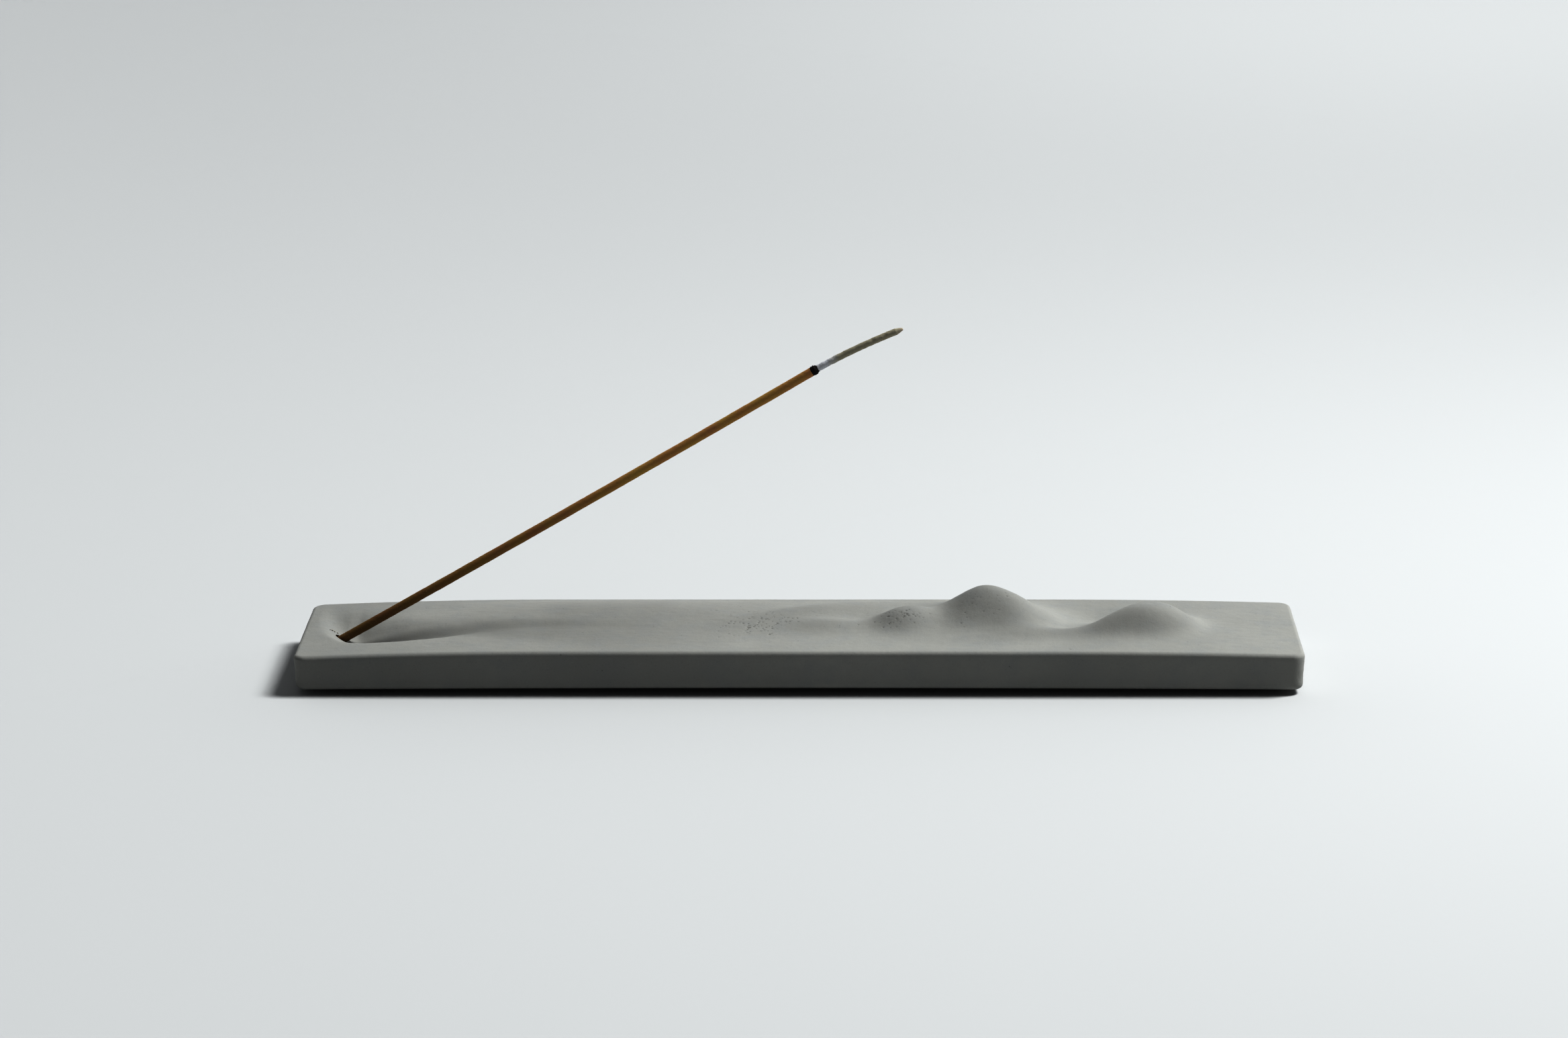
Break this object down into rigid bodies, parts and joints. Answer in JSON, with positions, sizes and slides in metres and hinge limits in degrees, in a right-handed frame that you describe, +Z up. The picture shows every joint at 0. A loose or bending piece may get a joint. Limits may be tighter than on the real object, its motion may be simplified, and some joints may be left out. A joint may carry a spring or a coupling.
{
  "type": "incense burner",
  "caption": "Long low concrete incense burner with a relief of hills, a comet-shaped ash scoop and a slanting bore that holds a stick.",
  "frame": {"origin": "on the table under the middle of the slab", "axes": "+Z up, +X along the slab from the scoop to the hills, -Y towards the front, where the scoop's lip is"},
  "size_m": [0.2416, 0.045, 0.0856],
  "materials": {
    "concrete": "matte cast concrete, fine grain with small air holes",
    "foot_rubber": "matte black rubber",
    "incense": "matte pressed incense powder, dark brown",
    "char": "matte char",
    "ash": "matte crumbly ash"
  },
  "bodies": {
    "base": {"concrete_slab": "concrete", "foot_front_left": "foot_rubber", "foot_front_right": "foot_rubber", "foot_rear_left": "foot_rubber", "foot_rear_right": "foot_rubber"},
    "stick": {"incense_stick": "incense", "char_band": "char", "ash_column": "ash"}
  },
  "joints": [
    {"name": "stick_pull", "type": "slide", "parent": "base", "child": "stick", "axis": [0.8678, 0, 0.497], "range_m": [0, 0.03]}
  ]
}
